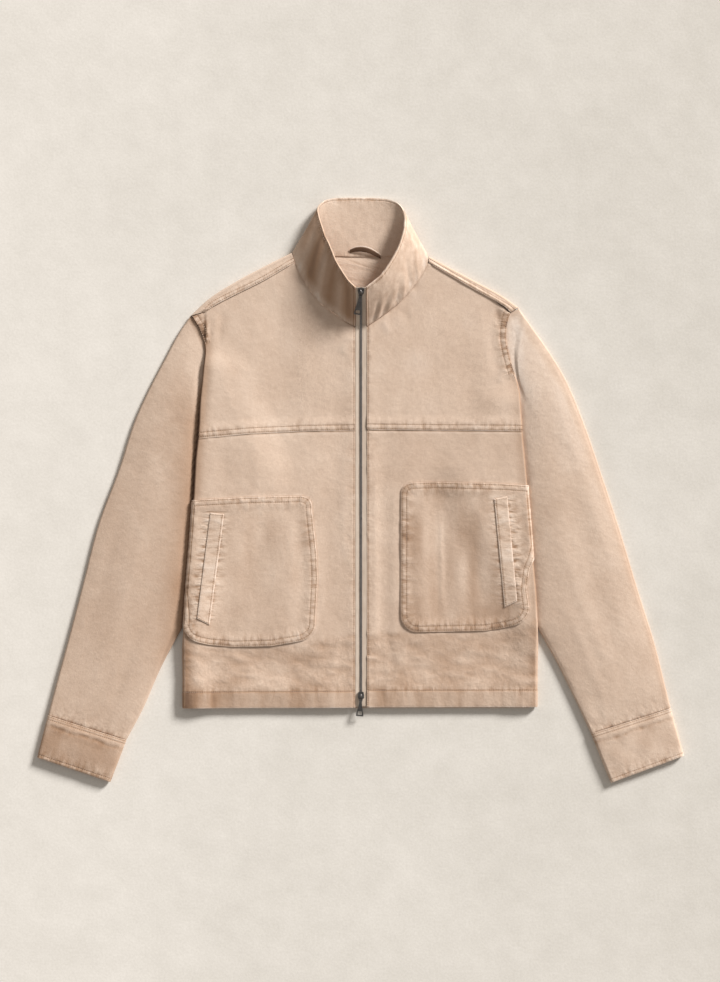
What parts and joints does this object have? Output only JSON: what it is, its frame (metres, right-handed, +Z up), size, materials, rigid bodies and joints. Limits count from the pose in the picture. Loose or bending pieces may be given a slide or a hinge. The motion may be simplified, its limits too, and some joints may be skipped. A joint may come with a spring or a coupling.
{
  "type": "harrington jacket",
  "caption": "Tan cotton canvas harrington jacket laid flat, zipped to the top of an open funnel collar, with a chest yoke seam, large rounded patch pockets with slanted welts, and plain cuffs.",
  "frame": {"origin": "centre of the jacket's outline, on the surface that it lies on", "axes": "+X across the jacket, from sleeve to sleeve; +Y from hem to collar; +Z up from the surface"},
  "size_m": [0.9233, 0.8355, 0.0449],
  "materials": {
    "canvas": "washed cotton canvas, matt, tan",
    "tape": "woven cotton tape, cream",
    "metal": "dark gunmetal plating"
  },
  "bodies": {
    "jacket": {"back": "canvas", "chest_left": "canvas", "chest_right": "canvas", "front_left": "canvas", "front_right": "canvas", "pocket_left": "canvas", "pocket_right": "canvas", "welt_left": "canvas", "welt_right": "canvas", "sleeve_left": "canvas", "sleeve_right": "canvas", "cuff_left": "canvas", "cuff_right": "canvas", "collar": "canvas", "hanger_loop": "canvas", "zip_tape_left": "tape", "zip_tape_right": "tape", "zip_slider_top": "metal", "zip_slider_bottom": "metal"},
    "top_pull": {"zip_pull_top": "metal"},
    "bottom_pull": {"zip_pull_bottom": "metal"}
  },
  "joints": [
    {"name": "top_pull", "type": "hinge", "parent": "jacket", "child": "top_pull", "pos_m": [0, 0.27898, 0.04224], "axis": [-0.989, 0.1297, 0.0708], "range_deg": [0, 150]},
    {"name": "bottom_pull", "type": "hinge", "parent": "jacket", "child": "bottom_pull", "pos_m": [0, -0.294, 0.01035], "axis": [-0.9976, 0.0698, 0], "range_deg": [0, 150]}
  ]
}
